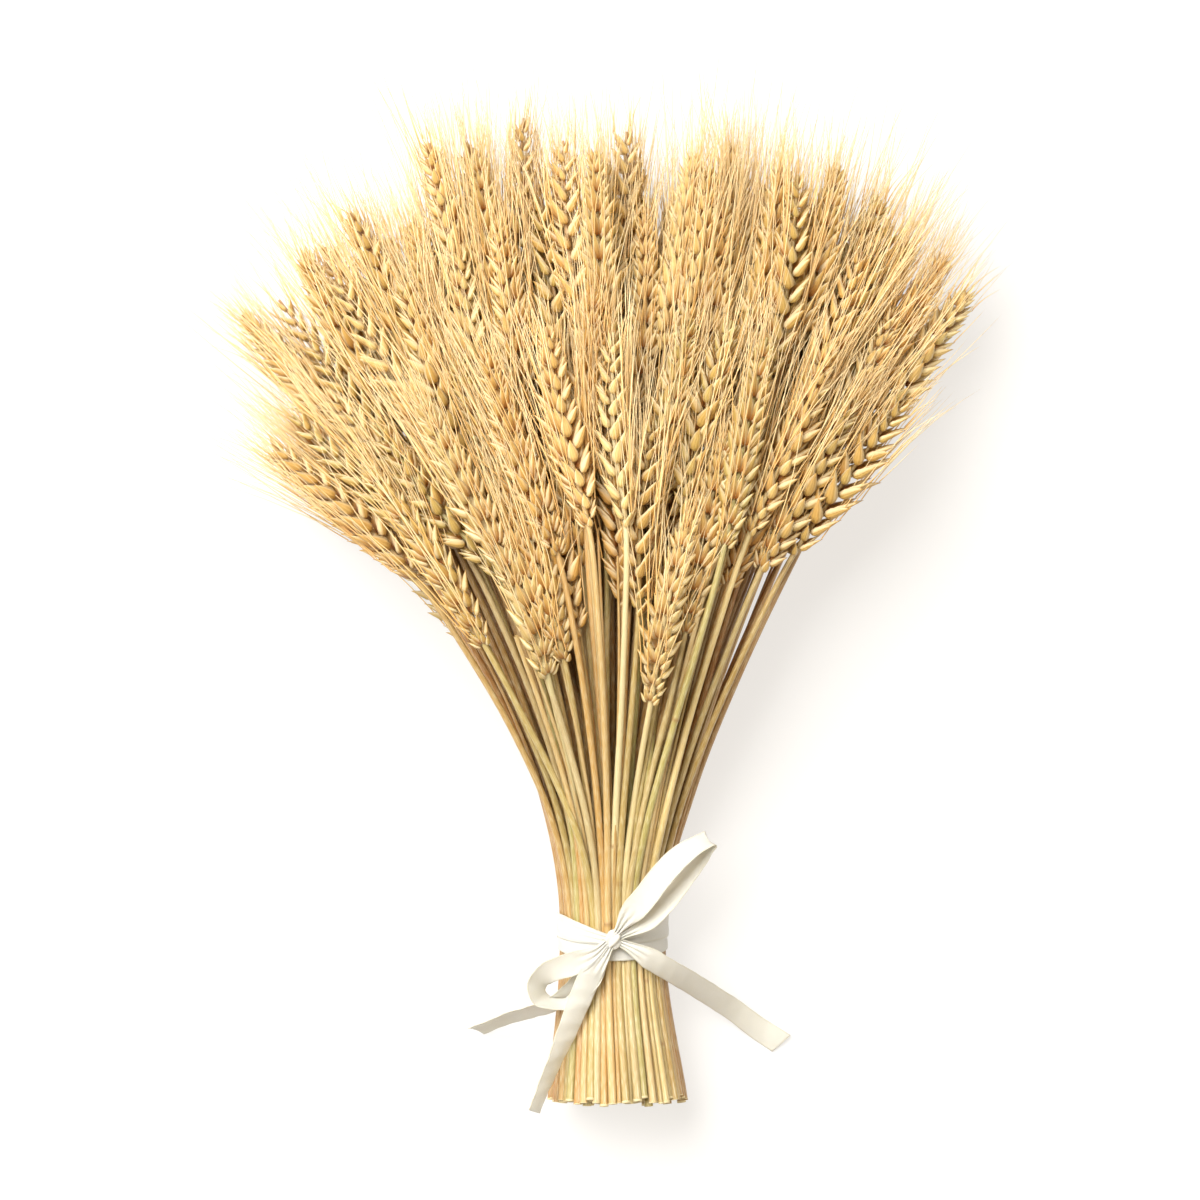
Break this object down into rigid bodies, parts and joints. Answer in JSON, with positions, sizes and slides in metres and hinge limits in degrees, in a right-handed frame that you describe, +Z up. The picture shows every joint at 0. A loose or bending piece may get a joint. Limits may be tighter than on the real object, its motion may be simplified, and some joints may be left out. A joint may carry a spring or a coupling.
{
  "type": "dried wheat bunch",
  "caption": "Bunch of dried bearded wheat with fanned ears, tied at the waist with a narrow satin ribbon in a loose bow, lying on its side.",
  "frame": {"origin": "on the surface that the bunch lies on, right under the middle of the tie, where the ribbon rests on it", "axes": "+Y along the stalks from the cut ends to the ears, +X to the right of someone looking down on the bunch with the ears pointing away, +Z up from the surface"},
  "size_m": [0.3218, 0.4194, 0.125],
  "materials": {
    "straw_pale": "dry straw, pale, matte",
    "straw_golden": "dry straw, golden, matte",
    "ribbon_satin": "ivory satin, soft sheen"
  },
  "bodies": {
    "root": {"stalk_01": "straw_pale", "stalk_02": "straw_golden", "stalk_03": "straw_pale", "stalk_04": "straw_golden", "stalk_05": "straw_pale", "stalk_06": "straw_golden", "stalk_07": "straw_pale", "stalk_08": "straw_golden", "stalk_09": "straw_pale", "stalk_10": "straw_golden", "stalk_11": "straw_pale", "stalk_12": "straw_golden", "stalk_13": "straw_pale", "stalk_14": "straw_golden", "stalk_15": "straw_pale", "stalk_16": "straw_golden", "stalk_17": "straw_pale", "stalk_18": "straw_golden", "stalk_19": "straw_pale", "stalk_20": "straw_golden", "stalk_21": "straw_pale", "stalk_32": "straw_golden", "stalk_43": "straw_pale", "stalk_64": "straw_golden", "stalk_73": "straw_pale", "stalk_80": "straw_golden", "stalk_81": "straw_pale", "stalk_82": "straw_golden", "stalk_83": "straw_pale", "stalk_84": "straw_golden", "stalks_22_23": "straw_pale", "stalks_24_25": "straw_golden", "stalks_26_27": "straw_pale", "stalks_28_29": "straw_golden", "stalks_30_31": "straw_pale", "stalks_33_34": "straw_golden", "stalks_35_36": "straw_pale", "stalks_37_38": "straw_golden", "stalks_39_40": "straw_pale", "stalks_41_42": "straw_golden", "stalks_44_45": "straw_pale", "stalks_46_47": "straw_golden", "stalks_48_49": "straw_pale", "stalks_50_51": "straw_golden", "stalks_52_53": "straw_pale", "stalks_54_55": "straw_golden", "stalks_56_57": "straw_pale", "stalks_58_59": "straw_golden", "stalks_60_61": "straw_pale", "stalks_62_63": "straw_golden", "stalks_65_66": "straw_pale", "stalks_67_68": "straw_golden", "stalks_69_70": "straw_pale", "stalks_71_72": "straw_golden", "stalks_74_75": "straw_pale", "stalks_76_77": "straw_golden", "stalks_78_79": "straw_pale", "ribbon": "ribbon_satin"}
  },
  "joints": []
}
